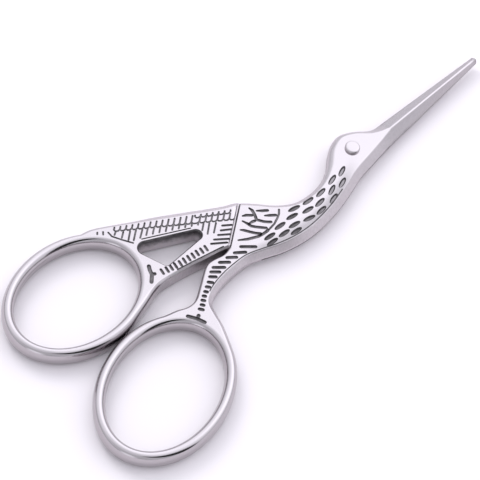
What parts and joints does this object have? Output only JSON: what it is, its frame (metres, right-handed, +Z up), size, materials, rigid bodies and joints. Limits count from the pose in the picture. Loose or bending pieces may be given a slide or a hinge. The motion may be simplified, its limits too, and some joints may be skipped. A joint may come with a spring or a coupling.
{
  "type": "stork embroidery scissors",
  "caption": "Small embroidery scissors shaped as a standing stork: beak blades, rivet at the eye, lapped neck, pierced tail and oval finger rings.",
  "frame": {"origin": "under the middle of the closed scissors, on the surface they lie on", "axes": "+X from the finger rings to the tip of the beak, +Y towards the tail ring's side, +Z up through the front face with the rivet's head"},
  "size_m": [0.1166, 0.0494, 0.0047],
  "materials": {
    "plated_steel": "polished nickel plate over steel",
    "rivet_steel": "polished"
  },
  "bodies": {
    "back_half": {"tail_half": "plated_steel", "pivot_rivet": "rivet_steel"},
    "front_half": {"leg_half": "plated_steel"}
  },
  "joints": [
    {"name": "rivet_hinge", "type": "hinge", "parent": "back_half", "child": "front_half", "pos_m": [0.02133, 0.00096, 0.00205], "axis": [0, 0, 1], "range_deg": [0, 45]}
  ]
}
